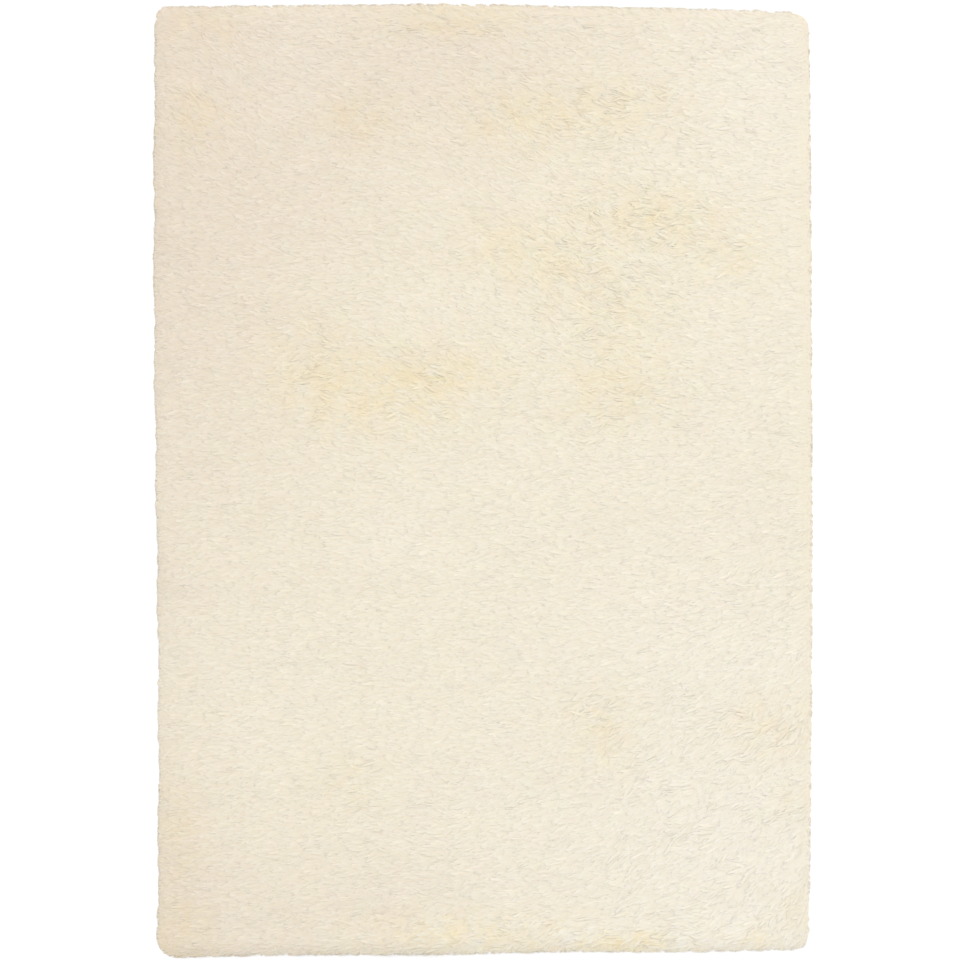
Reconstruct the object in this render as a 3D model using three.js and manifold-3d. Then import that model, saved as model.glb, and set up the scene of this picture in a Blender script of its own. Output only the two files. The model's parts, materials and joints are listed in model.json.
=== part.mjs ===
// A shag rug, 1.6 by 2.3 m: one piece of tufted pile cloth that lies flat on a floor.
// Millimetres, +Z up, +Y along the rug, +X across it, origin in the middle of the underside.
// The rug is one solid: a lumpy slab of bent-over pile, with tapered locks fused to its rim.
import * as THREE from "three";
import { ImprovedNoise } from "three/addons/math/ImprovedNoise.js";
import Module from "manifold-3d";

// The whole rug, over the tips of its longest locks.
const RUG_WIDTH = 1592;
const RUG_LENGTH = 2303;

// The slab's own edge lies this far inside those tips.
const LOCK_MARGIN = 5;

// The rug is a little out of square: both ends draw in towards the right-hand side.
const TOP_FALL = 12;
const BOTTOM_RISE = 14;

// Corner radii, by end (+1 top, -1 bottom) and by side (+1 right, -1 left).
const CORNERS = [
  { end: 1, side: -1, radius: 24 },
  { end: 1, side: 1, radius: 36 },
  { end: -1, side: -1, radius: 46 },
  { end: -1, side: 1, radius: 32 },
];

// Each edge dips in from its straight line by a long wave and a short one.
const EDGE_WAVES = {
  left: { long: 620, longDip: 6, short: 145, shortDip: 7 },
  right: { long: 1500, longDip: 3, short: 210, shortDip: 1 },
  top: { long: 760, longDip: 4, short: 170, shortDip: 2 },
  bottom: { long: 690, longDip: 3, short: 150, shortDip: 2 },
};

// The pile lies over to this height, and rounds down to the floor within the rim's breadth.
const PILE_HEIGHT = 27;
const RIM_BREADTH = 44;
const RIM_STEPS = [0, 9, 44];

// Lumps are long the way the pile is combed and short across it, on broad low swells.
const LUMP = { length: 150, breadth: 64, rise: 8 };
const SWELL = { span: 420, rise: 5 };
const GRID_PITCH = { across: 66, along: 38 };

// The comb runs sideways, and its turn changes from the top end to the bottom one, in degrees.
const COMB_TURN = { top: -5, bottom: 6 };

// Swirls turn the comb further, each by so many degrees over a patch of that span.
const SWIRLS = [
  { x: -630, y: 880, span: 210, turn: -28 },
  { x: 10, y: 880, span: 240, turn: -18 },
  { x: 190, y: 520, span: 260, turn: -20 },
  { x: -170, y: 240, span: 200, turn: -20 },
  { x: 370, y: -750, span: 280, turn: 18 },
  { x: 730, y: -530, span: 240, turn: 34 },
  { x: 740, y: -1010, span: 190, turn: 46 },
];

// Rim locks: tapered three-sided wedges that rest level on the floor, rooted inside the slab.
const LOCK_COUNT = 290;
const LOCK_ROOT = 15;
const LOCK_REACH = { least: 3, most: 8 };
const LOCK_BREADTH = { least: 15, most: 21 };
const LOCK_HEIGHT = { least: 14, most: 19 };
const LOCK_TURN = 24;
const LOCK_BEND = 5;
// Sections of a lock: how far along it, and the share of its breadth and height there.
const LOCK_SECTIONS = [
  { along: 0, breadth: 1, height: 1 },
  { along: 0.8, breadth: 0.62, height: 0.45 },
];
const SEED = 1973;

const CREAM = new THREE.Color(0.93, 0.87, 0.76);

const library = await Module();
library.setup();

const noise = new ImprovedNoise();
const { degToRad, lerp, clamp } = THREE.MathUtils;
const SLAB_WIDTH = RUG_WIDTH - 2 * LOCK_MARGIN;
const SLAB_LENGTH = RUG_LENGTH - 2 * LOCK_MARGIN;

// How far in an edge dips from its straight line at this place along it.
function dip(edge, place) {
  const { long, longDip, short, shortDip } = EDGE_WAVES[edge];
  const turn = 2 * Math.PI * place;
  return (longDip * (1 + Math.sin(turn / long)) + shortDip * (1 + Math.sin(turn / short))) / 2;
}

function topEdge(x) {
  const share = x / SLAB_WIDTH + 0.5;
  return SLAB_LENGTH / 2 - TOP_FALL * share - dip("top", x);
}

function bottomEdge(x) {
  const share = x / SLAB_WIDTH + 0.5;
  return -SLAB_LENGTH / 2 + BOTTOM_RISE * share + dip("bottom", x);
}

// The x of one side of the slab at this y, drawn in where a corner is round.
function sideEdge(side, y) {
  const end = y < 0 ? -1 : 1;
  const endY = end < 0 ? bottomEdge((side * SLAB_WIDTH) / 2) : topEdge((side * SLAB_WIDTH) / 2);
  const { radius } = CORNERS.find((corner) => corner.end === end && corner.side === side);
  const into = clamp(radius - Math.abs(endY - y), 0, radius);
  const drawnIn = radius - Math.sqrt(radius ** 2 - into ** 2);
  return side * (SLAB_WIDTH / 2 - dip(side < 0 ? "left" : "right", y) - drawnIn);
}

// Places along a span: the rim's own steps at both ends, and even steps of about the pitch between.
function placesAlong(span, pitch) {
  const rim = RIM_STEPS.at(-1);
  const count = Math.round((span - 2 * rim) / pitch);
  const inner = Array.from({ length: count - 1 }, (_, i) => lerp(rim, span - rim, (i + 1) / count));
  return [...RIM_STEPS, ...inner, ...RIM_STEPS.map((step) => span - step).reverse()];
}

// The comb's flow lines run along x where this number stays the same.
function acrossComb(x, y) {
  const share = y / SLAB_LENGTH + 0.5;
  let across = y - x * Math.tan(degToRad(lerp(COMB_TURN.bottom, COMB_TURN.top, share)));
  for (const swirl of SWIRLS) {
    const reach = Math.hypot(x - swirl.x, y - swirl.y) / swirl.span;
    across -= (x - swirl.x) * Math.tan(degToRad(swirl.turn)) * Math.exp(-(reach ** 2));
  }
  return across;
}

function lumps(x, y) {
  const lump = noise.noise(x / LUMP.length, acrossComb(x, y) / LUMP.breadth, 0.5);
  const swell = noise.noise(x / SWELL.span, y / SWELL.span, 7.5);
  return LUMP.rise * lump + SWELL.rise * swell;
}

// A quarter round that climbs from nothing at the edge to 1 at the rim's breadth.
function rimRise(fromEdge) {
  const into = clamp(fromEdge / RIM_BREADTH, 0, 1);
  return Math.sqrt(1 - (1 - into) ** 2);
}

// The slab's skin: a grid of points from edge to edge, over a flat underside.
function slabPoints() {
  const across = placesAlong(SLAB_WIDTH, GRID_PITCH.across);
  const along = placesAlong(SLAB_LENGTH, GRID_PITCH.along);
  const rows = along.map((fromBottom) =>
    across.map((fromLeft) => {
      const straightX = fromLeft - SLAB_WIDTH / 2;
      const y = lerp(bottomEdge(straightX), topEdge(straightX), fromBottom / SLAB_LENGTH);
      const x = lerp(sideEdge(-1, y), sideEdge(1, y), fromLeft / SLAB_WIDTH);
      const fromSide = Math.min(fromLeft, SLAB_WIDTH - fromLeft);
      const fromEnd = Math.min(fromBottom, SLAB_LENGTH - fromBottom);
      const z = (PILE_HEIGHT + lumps(x, y)) * rimRise(fromSide) * rimRise(fromEnd);
      return new THREE.Vector3(x, y, z);
    }),
  );
  return rows;
}

// The outer points of the grid, anticlockwise seen from above, as numbers into the grid.
function rimOfGrid(columns, rows) {
  const rim = [];
  for (let i = 0; i < columns - 1; i++) rim.push(i);
  for (let j = 0; j < rows - 1; j++) rim.push(j * columns + columns - 1);
  for (let i = columns - 1; i > 0; i--) rim.push((rows - 1) * columns + i);
  for (let j = rows - 1; j > 0; j--) rim.push(j * columns);
  return rim;
}

function solidFrom(points, triangles) {
  return new library.Manifold(
    new library.Mesh({
      numProp: 3,
      vertProperties: new Float32Array(points.flatMap((point) => point.toArray())),
      triVerts: new Uint32Array(triangles.flat()),
    }),
  );
}

function makeSlab(rows) {
  const columns = rows[0].length;
  const points = rows.flat();
  const triangles = [];
  for (let j = 0; j < rows.length - 1; j++) {
    for (let i = 0; i < columns - 1; i++) {
      const a = j * columns + i;
      const d = a + columns;
      // The short diagonal of each cell takes the fold between its two triangles.
      const level = Math.abs(points[a].z - points[d + 1].z) < Math.abs(points[a + 1].z - points[d].z);
      if (level) triangles.push([a, a + 1, d + 1], [a, d + 1, d]);
      else triangles.push([a, a + 1, d], [a + 1, d + 1, d]);
    }
  }
  const rim = rimOfGrid(columns, rows.length);
  const outline = rim.map((index) => new THREE.Vector2(points[index].x, points[index].y));
  for (const [a, b, c] of THREE.ShapeUtils.triangulateShape(outline, [])) {
    triangles.push([rim[a], rim[c], rim[b]]);
  }
  return solidFrom(points, triangles);
}

// A repeatable row of random numbers from 0 to 1 (the mulberry32 generator).
function randomRow(seed) {
  let state = seed;
  return () => {
    state = (state + 0x6d2b79f5) | 0;
    let mixed = Math.imul(state ^ (state >>> 15), 1 | state);
    mixed = (mixed + Math.imul(mixed ^ (mixed >>> 7), 61 | mixed)) ^ mixed;
    return ((mixed ^ (mixed >>> 14)) >>> 0) / 4294967296;
  };
}

// One rim lock: three-sided sections that shrink to a tip on the floor.
function makeLock(edgePoint, outwards, size) {
  const direction = outwards.clone().applyAxisAngle(new THREE.Vector3(0, 0, 1), size.turn);
  const sideways = new THREE.Vector3(-direction.y, direction.x, 0);
  const length = LOCK_ROOT + size.reach;
  const placeAt = (along) =>
    edgePoint
      .clone()
      .addScaledVector(direction, along * length - LOCK_ROOT)
      .addScaledVector(sideways, size.bend * along ** 2)
      .setZ(0);
  const points = [];
  for (const section of LOCK_SECTIONS) {
    const middle = placeAt(section.along);
    const half = (size.breadth * section.breadth) / 2;
    points.push(middle.clone().addScaledVector(sideways, -half));
    points.push(middle.clone().addScaledVector(sideways, half));
    points.push(middle.clone().setZ(size.height * section.height));
  }
  const tip = points.length;
  points.push(placeAt(1));

  const triangles = [[0, 2, 1]];
  for (let ring = 0; ring < tip; ring += 3) {
    for (let corner = 0; corner < 3; corner++) {
      const a = ring + corner;
      const b = ring + ((corner + 1) % 3);
      if (ring + 3 === tip) triangles.push([a, b, tip]);
      else triangles.push([a, b, b + 3], [a, b + 3, a + 3]);
    }
  }
  return solidFrom(points, triangles);
}

// Locks stand side by side along the slab's edge, each with its own size and lean.
function makeLocks(rows) {
  const points = rows.flat();
  const rim = rimOfGrid(rows[0].length, rows.length).map((index) => points[index]);
  const edge = new THREE.CatmullRomCurve3(rim, true, "centripetal");
  edge.arcLengthDivisions = 4 * rim.length;
  const random = randomRow(SEED);
  const pick = ({ least, most }) => lerp(least, most, random());
  return Array.from({ length: LOCK_COUNT }, (_, i) => {
    const place = (i + 0.3 * random()) / LOCK_COUNT;
    const along = edge.getTangentAt(place);
    const outwards = new THREE.Vector3(along.y, -along.x, 0).normalize();
    return makeLock(edge.getPointAt(place), outwards, {
      reach: pick(LOCK_REACH),
      breadth: pick(LOCK_BREADTH),
      height: pick(LOCK_HEIGHT),
      turn: degToRad(pick({ least: -LOCK_TURN, most: LOCK_TURN })),
      bend: pick({ least: -LOCK_BEND, most: LOCK_BEND }),
    });
  });
}

function geometryOf(solid) {
  const { vertProperties, triVerts } = solid.getMesh();
  const geometry = new THREE.BufferGeometry();
  geometry.setAttribute("position", new THREE.BufferAttribute(vertProperties, 3));
  geometry.setIndex(new THREE.BufferAttribute(triVerts, 1));
  // The origin goes to the middle of the underside, wherever the locks' tips ended up.
  geometry.computeBoundingBox();
  const middle = geometry.boundingBox.getCenter(new THREE.Vector3());
  geometry.translate(-middle.x, -middle.y, 0);
  geometry.computeVertexNormals();
  return geometry;
}

const rows = slabPoints();
const solid = makeLocks(rows).reduce((rug, lock) => rug.add(lock), makeSlab(rows));

const pile = new THREE.MeshStandardMaterial({ color: CREAM, roughness: 0.95, metalness: 0 });
const rug = new THREE.Mesh(geometryOf(solid), pile);
rug.name = "shag_pile_rug";

const group = new THREE.Group();
group.add(rug);
export default group;
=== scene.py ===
# %% [markdown]
# # A cream shag rug, 1.6 by 2.3 m
#
# A shag rug is a ground cloth with long soft tufts set through it. In use the tufts lean over and lie on
# each other like fur, and at the rim they reach past the edge of the cloth.
# This lesson builds it in that order: the cloth, the dense bed of fibre that stands on it, and nearly
# sixty thousand locks that lie over the bed, laid by one Geometry Nodes tree.
#
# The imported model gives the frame: one lumpy slab in metres, which every piece here is fitted to.

# %% Load the frame
import json
import math
from types import SimpleNamespace

import bpy
import numpy as np
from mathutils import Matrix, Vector
from mathutils.bvhtree import BVHTree

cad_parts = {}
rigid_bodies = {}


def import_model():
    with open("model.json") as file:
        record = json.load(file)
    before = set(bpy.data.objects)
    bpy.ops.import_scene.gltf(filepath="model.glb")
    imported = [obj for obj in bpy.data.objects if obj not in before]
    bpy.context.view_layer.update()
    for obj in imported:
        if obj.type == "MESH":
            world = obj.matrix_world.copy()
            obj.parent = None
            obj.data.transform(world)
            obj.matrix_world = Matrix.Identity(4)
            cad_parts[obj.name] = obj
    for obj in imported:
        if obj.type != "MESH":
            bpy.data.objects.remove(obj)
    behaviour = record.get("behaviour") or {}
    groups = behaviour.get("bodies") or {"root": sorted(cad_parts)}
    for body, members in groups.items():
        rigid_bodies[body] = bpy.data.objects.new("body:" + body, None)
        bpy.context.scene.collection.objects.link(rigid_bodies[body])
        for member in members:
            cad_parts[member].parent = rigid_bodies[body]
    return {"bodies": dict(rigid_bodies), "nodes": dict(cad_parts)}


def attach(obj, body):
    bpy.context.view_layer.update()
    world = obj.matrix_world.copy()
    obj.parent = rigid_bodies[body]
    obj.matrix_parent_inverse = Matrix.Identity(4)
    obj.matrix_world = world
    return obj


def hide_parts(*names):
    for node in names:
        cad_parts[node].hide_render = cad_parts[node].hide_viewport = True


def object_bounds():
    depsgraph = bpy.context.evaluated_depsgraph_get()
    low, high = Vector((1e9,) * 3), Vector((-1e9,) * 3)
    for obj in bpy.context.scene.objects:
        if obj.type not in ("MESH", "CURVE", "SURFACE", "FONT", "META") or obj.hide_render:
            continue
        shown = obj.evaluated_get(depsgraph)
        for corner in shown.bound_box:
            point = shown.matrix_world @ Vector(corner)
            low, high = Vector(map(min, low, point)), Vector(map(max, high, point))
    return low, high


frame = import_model()
cad_low, cad_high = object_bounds()
RUG_NODE = "shag_pile_rug"
BODY = list(frame["bodies"])[0]
print("body", BODY, "box", [round(v, 4) for v in (*cad_low, *cad_high)])

# %% [markdown]
# ## Camera
#
# The rug is seen square-on from above, so its ends and sides come out parallel. An orthographic camera
# would do that exactly. A long lens high above does it nearly as well, and it still frames the rug when
# it is moved to look from the side, so that is used.

# %% Camera
PIXEL = 0.00242          # metres of floor to a pixel of the picture
PICTURE_SIDE = 960       # pixels
RUG_MIDDLE_PIXEL = (482.9, 480.8)
CAMERA_HEIGHT = 14.0

camera_data = bpy.data.cameras.new("camera")
camera_data.sensor_width = 36.0
camera_data.lens = camera_data.sensor_width * CAMERA_HEIGHT / (PIXEL * PICTURE_SIDE)
camera_data.clip_end = 100.0
camera = bpy.data.objects.new("camera", camera_data)
camera.location = (
    (PICTURE_SIDE / 2 - RUG_MIDDLE_PIXEL[0]) * PIXEL,
    (RUG_MIDDLE_PIXEL[1] - PICTURE_SIDE / 2) * PIXEL,
    CAMERA_HEIGHT,
)
bpy.context.scene.collection.objects.link(camera)
bpy.context.scene.camera = camera
print("lens", round(camera_data.lens, 1), "mm")

# %% [markdown]
# ## Light and floor
#
# Pale pile under hard light turns into a field of black dots. The light here comes from everywhere: a
# white surround, and one very large soft lamp towards the top end and a little to the right, which gives
# each lock a bright upper side and a faint shadow below. The floor glows a little, so that it stays white.

# %% Light
SURROUND_STRENGTH = 0.87
LAMP_POWER = 492.0
LAMP_SIDE = 12.0
LAMP_PLACE = Vector((2.2, 7.6, 12.0))

scene = bpy.context.scene
scene.view_settings.view_transform = "Standard"
scene.view_settings.look = "None"

world = bpy.data.worlds.new("surround")
world.use_nodes = True
world.node_tree.nodes["Background"].inputs["Color"].default_value = (1.0, 1.0, 1.0, 1.0)
world.node_tree.nodes["Background"].inputs["Strength"].default_value = SURROUND_STRENGTH
scene.world = world

lamp_data = bpy.data.lights.new("lamp", "AREA")
lamp_data.shape = "SQUARE"
lamp_data.size = LAMP_SIDE
lamp_data.energy = LAMP_POWER
lamp = bpy.data.objects.new("lamp", lamp_data)
lamp.location = LAMP_PLACE
lamp.rotation_euler = (-LAMP_PLACE).to_track_quat("-Z", "Y").to_euler()
scene.collection.objects.link(lamp)
print("surround", SURROUND_STRENGTH, "lamp", LAMP_POWER, "W")

# %% Floor
FLOOR_SIDE = 40.0
FLOOR_DROP = 0.0003      # just below the rug's underside, so the two don't fight for the same place
FLOOR_CORNERS = [(-1, -1), (1, -1), (1, 1), (-1, 1)]
FLOOR_WHITE = (0.96, 0.96, 0.96, 1.0)
FLOOR_ROUGHNESS = 0.9
FLOOR_GLOW = 0.15

floor_mesh = bpy.data.meshes.new("floor")
floor_points = [(x * FLOOR_SIDE / 2, y * FLOOR_SIDE / 2, -FLOOR_DROP) for x, y in FLOOR_CORNERS]
floor_mesh.from_pydata(floor_points, [], [(0, 1, 2, 3)])
floor = bpy.data.objects.new("floor", floor_mesh)
scene.collection.objects.link(floor)
floor_material = bpy.data.materials.new("floor_white")
floor_material.use_nodes = True
floor_shader = floor_material.node_tree.nodes["Principled BSDF"]
floor_shader.inputs["Base Color"].default_value = FLOOR_WHITE
floor_shader.inputs["Roughness"].default_value = FLOOR_ROUGHNESS
floor_shader.inputs["Emission Color"].default_value = (1.0, 1.0, 1.0, 1.0)
floor_shader.inputs["Emission Strength"].default_value = FLOOR_GLOW
floor_mesh.materials.append(floor_material)
print("floor", FLOOR_SIDE, "m a side")

# %% [markdown]
# ## The outline
#
# The rug is a rectangle that was cut and edged by hand: its ends are a little out of square, each corner
# has its own radius, and each edge wanders. It could be a long list of points. A formula with a bow, a few
# waves and four radii is shorter and easier to change. These are the sizes of the slab in the frame, in
# metres, and a grid of points from edge to edge is spread between those edges.

# %% Sizes of the outline
SLAB_WIDTH = 1.595
SLAB_LENGTH = 2.309
TOP_FALL = 0.013
BOTTOM_RISE = 0.017
CORNER_RADIUS = {("top", "left"): 0.024, ("top", "right"): 0.036,
                 ("bottom", "left"): 0.046, ("bottom", "right"): 0.032}
LEAST_RADIUS = 0.012     # of a corner of a piece that is inset
EDGE_BOW = {"left": 0.0, "right": 0.0085, "top": 0.012, "bottom": 0.0}     # how far in its ends are drawn
# Each edge's waves: the pitch along it, how far the wave dips in, and a place where it dips most.
EDGE_WAVES = {
    "left": [{"pitch": 2.60, "dip": 0.0115, "at": -0.68}, {"pitch": 0.270, "dip": 0.0030, "at": 0.10},
             {"pitch": 0.061, "dip": 0.0024, "at": 0.02}, {"pitch": 0.043, "dip": 0.0016, "at": 0.00}],
    "right": [{"pitch": 1.50, "dip": 0.0010, "at": 0.30}, {"pitch": 0.210, "dip": 0.0008, "at": 0.00}],
    "top": [{"pitch": 0.76, "dip": 0.0020, "at": 0.30}, {"pitch": 0.066, "dip": 0.0014, "at": 0.00}],
    "bottom": [{"pitch": 0.69, "dip": 0.0030, "at": 0.20}, {"pitch": 0.073, "dip": 0.0014, "at": 0.00}],
}
RIM_BREADTH = 0.044      # the pile rounds down to the floor over this


def dip(edge, place):
    """How far in an edge dips from its straight line at this place along it."""
    half = (SLAB_LENGTH if edge in ("left", "right") else SLAB_WIDTH) / 2
    total = EDGE_BOW[edge] * (place / half) ** 2
    for wave in EDGE_WAVES[edge]:
        total = total + wave["dip"] * (1 + np.cos(2 * np.pi * (place - wave["at"]) / wave["pitch"])) / 2
    return total


def top_edge(x, inset):
    return SLAB_LENGTH / 2 - TOP_FALL * (x / SLAB_WIDTH + 0.5) - dip("top", x) - inset


def bottom_edge(x, inset):
    return -SLAB_LENGTH / 2 + BOTTOM_RISE * (x / SLAB_WIDTH + 0.5) + dip("bottom", x) + inset


def side_edge(side, y, inset):
    """How far out one side lies at this y, drawn in where a corner is round."""
    out = 1 if side == "right" else -1
    straight = SLAB_WIDTH / 2 - dip(side, y) - inset
    for end, edge in (("top", top_edge), ("bottom", bottom_edge)):
        radius = max(CORNER_RADIUS[end, side] - inset, LEAST_RADIUS)
        end_y = edge(out * SLAB_WIDTH / 2, inset)
        into = np.clip(radius - np.abs(end_y - y), 0, radius)
        straight = straight - (radius - np.sqrt(radius**2 - into**2))
    return out * straight


# %% Middle of the outline
PLACES_ACROSS = 400      # places along each end and each side where the outline is measured
PLACES_ALONG = 600
all_x = np.linspace(-SLAB_WIDTH / 2, SLAB_WIDTH / 2, PLACES_ACROSS)
all_y = np.linspace(-SLAB_LENGTH / 2, SLAB_LENGTH / 2, PLACES_ALONG)
MIDDLE_X = (side_edge("left", all_y, 0.0).min() + side_edge("right", all_y, 0.0).max()) / 2
MIDDLE_Y = (bottom_edge(all_x, 0.0).min() + top_edge(all_x, 0.0).max()) / 2
print("middle of the outline", round(float(MIDDLE_X), 4), round(float(MIDDLE_Y), 4), "goes to the origin")

# %% A grid of points between the edges
RIM_STEPS = np.array([0.0, 0.03, 0.1, 0.22, 0.4, 0.65])     # shares of the rim's breadth
SKIN_PITCH = 0.012


def places_along(span, pitch):
    """Places from edge to edge, close together at the rim, where the pile rounds down."""
    inner = np.linspace(RIM_BREADTH, span - RIM_BREADTH, round((span - 2 * RIM_BREADTH) / pitch) + 1)
    rim = RIM_STEPS * RIM_BREADTH
    return np.concatenate([rim, inner, span - rim[::-1]])


def rim_rise(from_edge):
    """A quarter round: nothing at the edge, and 1 from the rim's breadth inwards."""
    into = np.clip(from_edge / RIM_BREADTH, 0, 1)
    return np.sqrt(1 - (1 - into) ** 2)


def spread_grid(pitch, inset=0.0):
    """x, y and the rim's rise for a grid from edge to edge, a row for each place along the rug."""
    width = SLAB_WIDTH - 2 * inset
    length = SLAB_LENGTH - 2 * inset
    across = places_along(width, pitch)
    along = places_along(length, pitch)
    straight_x, from_bottom = np.meshgrid(across - width / 2, along)
    share = from_bottom / length
    y = bottom_edge(straight_x, inset) * (1 - share) + top_edge(straight_x, inset) * share
    share = straight_x / width + 0.5
    x = side_edge("left", y, inset) * (1 - share) + side_edge("right", y, inset) * share
    from_side = width / 2 - np.abs(straight_x)
    from_end = np.minimum(from_bottom, length - from_bottom)
    return x - MIDDLE_X, y - MIDDLE_Y, rim_rise(from_side) * rim_rise(from_end)


def rim_of_grid(rows, columns):
    """The outer points of the grid as numbers into it, anticlockwise from above."""
    number = np.arange(rows * columns).reshape(rows, columns)
    return np.concatenate([number[0, :-1], number[:-1, -1], number[-1, :0:-1], number[:0:-1, 0]])


def faces_of_grid(rows, columns):
    """The four-sided faces of the grid, row by row, each anticlockwise from above."""
    corner = (np.arange(rows - 1)[:, None] * columns + np.arange(columns - 1)[None]).ravel()
    return np.stack([corner, corner + 1, corner + columns + 1, corner + columns], 1).tolist()


skin_x, skin_y, skin_rise = spread_grid(SKIN_PITCH)
print("grid", skin_x.shape, "x", round(float(np.ptp(skin_x)), 3), "y", round(float(np.ptp(skin_y)), 3))

# %% [markdown]
# ## The height of the pile
#
# The slab in the frame already has the pile's lumps and swells, in broad facets. A ray dropped on it at
# each point of a coarse grid reads its height, and a blur takes the facets out. The rim's own rounding is
# put back by the quarter round above, so each piece follows the slab and none repeats its numbers.

# %% Height of the slab, read from the frame
MAP_PITCH = 0.02
MAP_CLEAR = 0.055        # heights are read at least this far inside the edges
RAY_START = 1.0          # rays start this high, well above the rug
MAP_END = 1.001          # keeps a place just short of the map's last row, so that one is left beyond it

slab = frame["nodes"][RUG_NODE]
slab_tree = BVHTree.FromPolygons(
    [slab.matrix_world @ v.co for v in slab.data.vertices], [tuple(p.vertices) for p in slab.data.polygons]
)
map_x = np.arange(cad_low.x + MAP_CLEAR, cad_high.x - MAP_CLEAR, MAP_PITCH)
map_y = np.arange(cad_low.y + MAP_CLEAR, cad_high.y - MAP_CLEAR, MAP_PITCH)
height_map = np.array(
    [[slab_tree.ray_cast((x, y, RAY_START), (0, 0, -1))[0].z for x in map_x] for y in map_y]
)


def blurred(grid):
    """The grid with each value mixed with its neighbours' in both directions."""
    for axis in (0, 1):
        first = np.take(grid, [0], axis)
        last = np.take(grid, [-1], axis)
        padded = np.concatenate([first, grid, last], axis)
        before = np.take(padded, range(0, grid.shape[axis]), axis)
        after = np.take(padded, range(2, grid.shape[axis] + 2), axis)
        grid = 0.25 * before + 0.5 * grid + 0.25 * after
    return grid


height_map = blurred(blurred(height_map))


def pile_height(x, y):
    """The blurred height at these points, from the four nearest of the map."""
    across = np.clip((x - map_x[0]) / MAP_PITCH, 0, len(map_x) - MAP_END)
    along = np.clip((y - map_y[0]) / MAP_PITCH, 0, len(map_y) - MAP_END)
    i, j = across.astype(int), along.astype(int)
    u, v = across - i, along - j
    low = height_map[j, i] * (1 - u) + height_map[j, i + 1] * u
    high = height_map[j + 1, i] * (1 - u) + height_map[j + 1, i + 1] * u
    return low * (1 - v) + high * v


print("pile height", round(float(height_map.min()), 4), "to", round(float(height_map.max()), 4))

# %% [markdown]
# ## The comb of the pile
#
# The tufts all lean to the left-hand side, as if a hand had been drawn across the rug. The lean turns
# slowly from the top end to the bottom one, and swirls turn it further here and there. The lean could be
# painted by hand, but a rule with a short table of swirls is easier to change. Each point of the skin
# keeps its lean, so the locks that start there can read it.

# %% Comb and swirls
COMB_TURN_TOP = -2.0     # degrees, anticlockwise from above
COMB_TURN_BOTTOM = 8.0
SWIRLS = [
    {"x": -0.630, "y": 0.880, "span": 0.210, "turn": -24},
    {"x": 0.010, "y": 0.880, "span": 0.240, "turn": -16},
    {"x": 0.190, "y": 0.520, "span": 0.260, "turn": -18},
    {"x": -0.170, "y": 0.240, "span": 0.200, "turn": -20},
    {"x": 0.370, "y": -0.750, "span": 0.280, "turn": 18},
    {"x": 0.730, "y": -0.120, "span": 0.300, "turn": 12},
    {"x": 0.730, "y": -0.530, "span": 0.240, "turn": 26},
    {"x": 0.740, "y": -1.010, "span": 0.190, "turn": 34},
]


def comb_direction(x, y):
    """The way the tufts lean at these points, as two parts of a unit vector."""
    share = np.clip(y / SLAB_LENGTH + 0.5, 0, 1)
    turn = COMB_TURN_BOTTOM * (1 - share) + COMB_TURN_TOP * share
    for swirl in SWIRLS:
        reach = np.hypot(x - swirl["x"], y - swirl["y"]) / swirl["span"]
        turn = turn + swirl["turn"] * np.exp(-(reach**2))
    turn = np.radians(turn)
    return -np.cos(turn), -np.sin(turn)


def across_comb(x, y):
    """How far across the comb a point lies: this stays the same along a lock's own line."""
    share = y / SLAB_LENGTH + 0.5
    turn = COMB_TURN_BOTTOM * (1 - share) + COMB_TURN_TOP * share
    across = y - x * np.tan(np.radians(turn))
    for swirl in SWIRLS:
        reach = np.hypot(x - swirl["x"], y - swirl["y"]) / swirl["span"]
        across = across - (x - swirl["x"]) * math.tan(math.radians(swirl["turn"])) * np.exp(-(reach**2))
    return across


print("comb of", len(SWIRLS), "swirls")

# %% Distance and way to the nearest edge
HAIR = 1e-6              # stands in for a length of nothing, which can't divide


def way_to_edge(x, y, outline):
    """Distance from each point to the outline, and the unit vector to its nearest point."""
    starts = outline
    steps = np.roll(outline, -1, axis=0) - starts
    squares = np.maximum((steps**2).sum(1), HAIR**2)
    best = np.full(x.shape, np.inf)
    way = np.zeros((*x.shape, 2))
    for start, step, square in zip(starts, steps, squares):
        share = np.clip(((x - start[0]) * step[0] + (y - start[1]) * step[1]) / square, 0, 1)
        to_x = start[0] + share * step[0] - x
        to_y = start[1] + share * step[1] - y
        reach = np.hypot(to_x, to_y)
        nearer = reach < best
        best = np.where(nearer, reach, best)
        way[nearer] = np.stack([to_x, to_y], -1)[nearer]
    return best, way / np.maximum(best, HAIR)[..., None]


rim = rim_of_grid(*skin_x.shape)
outline = np.stack([skin_x.ravel()[rim], skin_y.ravel()[rim]], 1)
edge_distance, edge_way = way_to_edge(skin_x, skin_y, outline)
print("outline of", len(outline), "points, and its middle is", round(float(edge_distance.max()), 3), "m in")
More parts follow.
